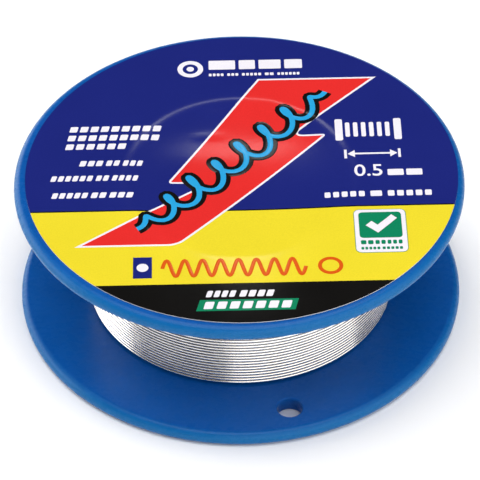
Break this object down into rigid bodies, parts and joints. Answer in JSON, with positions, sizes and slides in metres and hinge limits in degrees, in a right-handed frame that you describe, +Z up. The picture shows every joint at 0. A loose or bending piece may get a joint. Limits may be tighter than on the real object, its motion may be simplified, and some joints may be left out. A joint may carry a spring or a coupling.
{
  "type": "solder wire spool",
  "caption": "Small blue two-flange spool of fine solder wire with printed labels, a central spindle bore and a hole to tuck the wire's loose end into.",
  "frame": {"origin": "centre of the face that the spool rests on, at the bottom of its lower flange", "axes": "+Z up along the spindle bore, from the lower flange to the labelled upper flange; -Y towards the lower edge of the face label's print"},
  "size_m": [0.059, 0.059, 0.021],
  "materials": {
    "blue_plastic": "blue moulded plastic, semi-gloss",
    "bright_solder": "bright drawn tin alloy wire",
    "face_label_print": "printed gloss label, dark blue over yellow and black bands",
    "back_label_print": "printed gloss label, dark blue"
  },
  "bodies": {
    "root": {"lower_half": "blue_plastic", "upper_half": "blue_plastic", "wire_winding": "bright_solder", "face_label": "face_label_print", "back_label": "back_label_print"}
  },
  "joints": []
}
